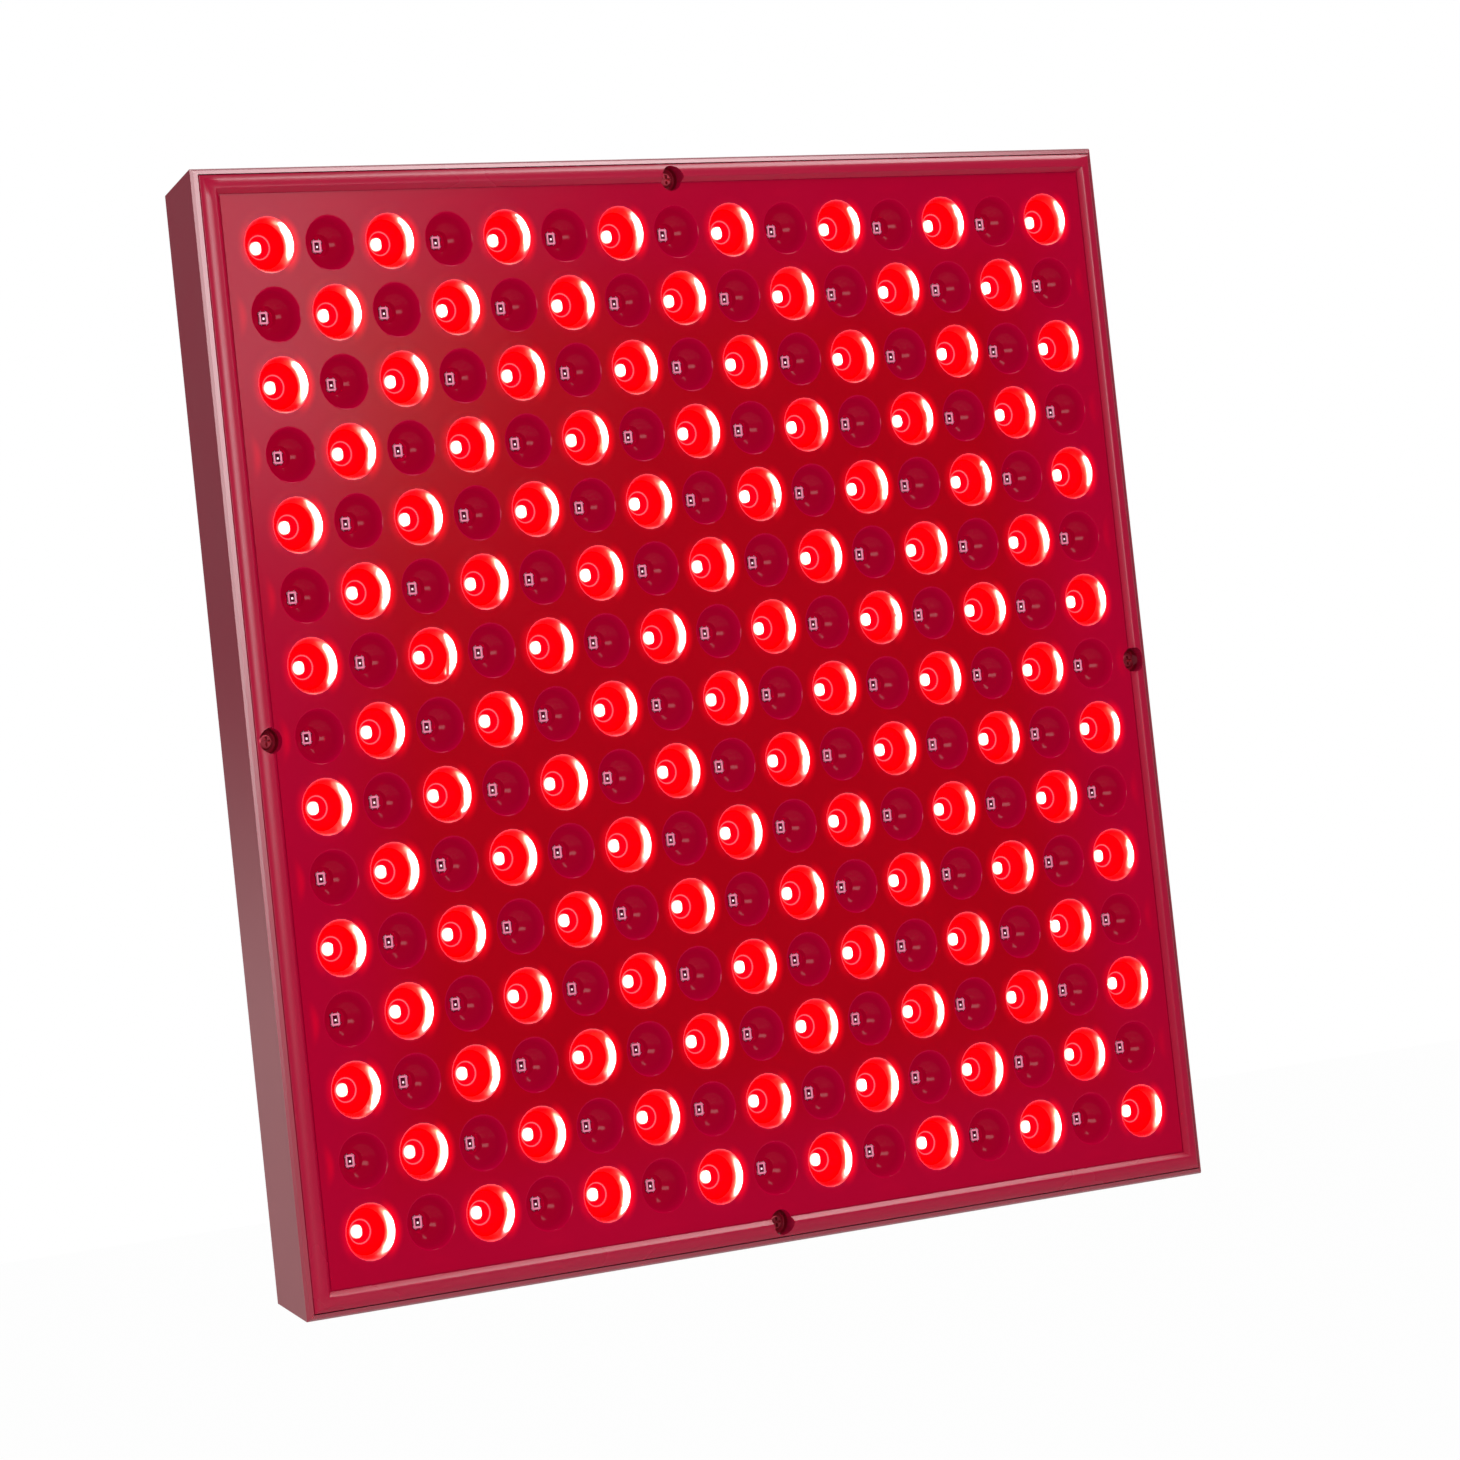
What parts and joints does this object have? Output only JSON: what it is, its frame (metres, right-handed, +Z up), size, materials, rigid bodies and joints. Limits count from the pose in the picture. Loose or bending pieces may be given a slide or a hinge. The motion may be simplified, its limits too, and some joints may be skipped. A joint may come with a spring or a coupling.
{
  "type": "red light therapy panel",
  "caption": "Flat square panel of red and infrared diodes in reflector cups, for light therapy, hung on a wall or door.",
  "frame": {"origin": "middle of the back, in the plane that touches the wall", "axes": "+Z up, -Y out of the lit face, +X to the right of someone who faces the lit face"},
  "size_m": [0.31, 0.03, 0.31],
  "materials": {
    "housing": "moulded, dark red, soft gloss",
    "cover": "moulded, deep red, glossy",
    "board": "red solder mask on aluminium",
    "red_diode": "diode package, shining red",
    "infrared_diode": "diode package, dark to the eye",
    "insulation": "thin film",
    "screw_steel": "zinc plated",
    "hanger_steel": "pressed sheet",
    "ring_steel": "plated wire",
    "bumper_rubber": "soft, matt",
    "black_plastic": "moulded",
    "rocker_plastic": "moulded, glossy",
    "pin_brass": "nickelled",
    "circuit_board": "glass epoxy",
    "black_epoxy": "moulded epoxy",
    "yellow_film": "boxed film",
    "ferrite": "sintered",
    "winding_tape": "wound, taped",
    "capacitor_sleeve": "shrunk sleeve",
    "fuse_glass": "glass tube",
    "sink_aluminium": "bent plate",
    "terminal_green": "moulded",
    "brown_lead": "insulated wire",
    "blue_lead": "insulated wire",
    "red_lead": "insulated wire"
  },
  "bodies": {
    "root": {"rear_housing": "housing", "front_cover": "cover", "led_board": "board", "red_leds": "red_diode", "infrared_leds": "infrared_diode", "insulation_sheet": "insulation", "front_screws": "screw_steel", "board_screws": "screw_steel", "driver_screws": "screw_steel", "hanger_screws": "screw_steel", "hanger_plates": "hanger_steel", "corner_bumpers": "bumper_rubber", "mains_inlet": "black_plastic", "inlet_pins": "pin_brass", "switch_frame": "black_plastic", "switch_blades": "pin_brass", "driver_board": "circuit_board", "bridge_rectifier": "black_epoxy", "film_capacitor": "yellow_film", "transformer_core": "ferrite", "transformer_coil": "winding_tape", "driver_capacitors": "capacitor_sleeve", "driver_choke": "ferrite", "driver_fuse": "fuse_glass", "driver_heatsink": "sink_aluminium", "switching_transistor": "black_epoxy", "driver_terminals": "terminal_green", "board_pins": "pin_brass", "live_lead": "brown_lead", "switched_lead": "brown_lead", "neutral_lead": "blue_lead", "board_leads": "red_lead"},
    "ring_top_left": {"ring_top_left": "ring_steel"},
    "ring_top_right": {"ring_top_right": "ring_steel"},
    "ring_bottom_left": {"ring_bottom_left": "ring_steel"},
    "ring_bottom_right": {"ring_bottom_right": "ring_steel"},
    "switch_rocker": {"switch_rocker": "rocker_plastic"}
  },
  "joints": [
    {"name": "swing_top_left", "type": "hinge", "parent": "root", "child": "ring_top_left", "pos_m": [-0.112, -0.0029, 0.126], "axis": [1, 0, 0], "range_deg": [0, 165]},
    {"name": "swing_top_right", "type": "hinge", "parent": "root", "child": "ring_top_right", "pos_m": [0.112, -0.0029, 0.126], "axis": [1, 0, 0], "range_deg": [0, 165]},
    {"name": "swing_bottom_left", "type": "hinge", "parent": "root", "child": "ring_bottom_left", "pos_m": [-0.112, -0.0029, -0.118], "axis": [1, 0, 0], "range_deg": [0, 165]},
    {"name": "swing_bottom_right", "type": "hinge", "parent": "root", "child": "ring_bottom_right", "pos_m": [0.112, -0.0029, -0.118], "axis": [1, 0, 0], "range_deg": [0, 165]},
    {"name": "rocker_turn", "type": "hinge", "parent": "root", "child": "switch_rocker", "pos_m": [0.02, -0.013, -0.1496], "axis": [0, 1, 0], "range_deg": [0, 16]}
  ]
}
